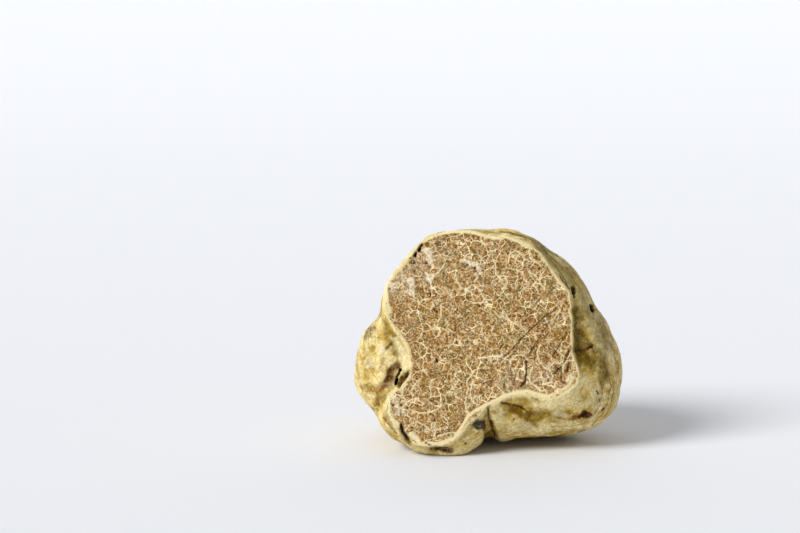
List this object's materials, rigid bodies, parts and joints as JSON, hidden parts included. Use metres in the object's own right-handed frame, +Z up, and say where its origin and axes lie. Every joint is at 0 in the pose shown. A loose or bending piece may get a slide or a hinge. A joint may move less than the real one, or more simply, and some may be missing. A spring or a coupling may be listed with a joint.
{
  "type": "white truffle",
  "caption": "Half of a lumpy white truffle, cut flat across with a knife, resting on its rounded underside.",
  "frame": {"origin": "middle of the footprint box at the table", "axes": "+Z up, +X to the right along the cut face, which is the longest extent; the cut face looks towards -Y and leans back 12 degrees"},
  "size_m": [0.0554, 0.0408, 0.045],
  "materials": {
    "truffle": "dull dry skin outside, matt marbled flesh on the cut"
  },
  "bodies": {
    "root": {"truffle_half": "truffle"}
  },
  "joints": []
}
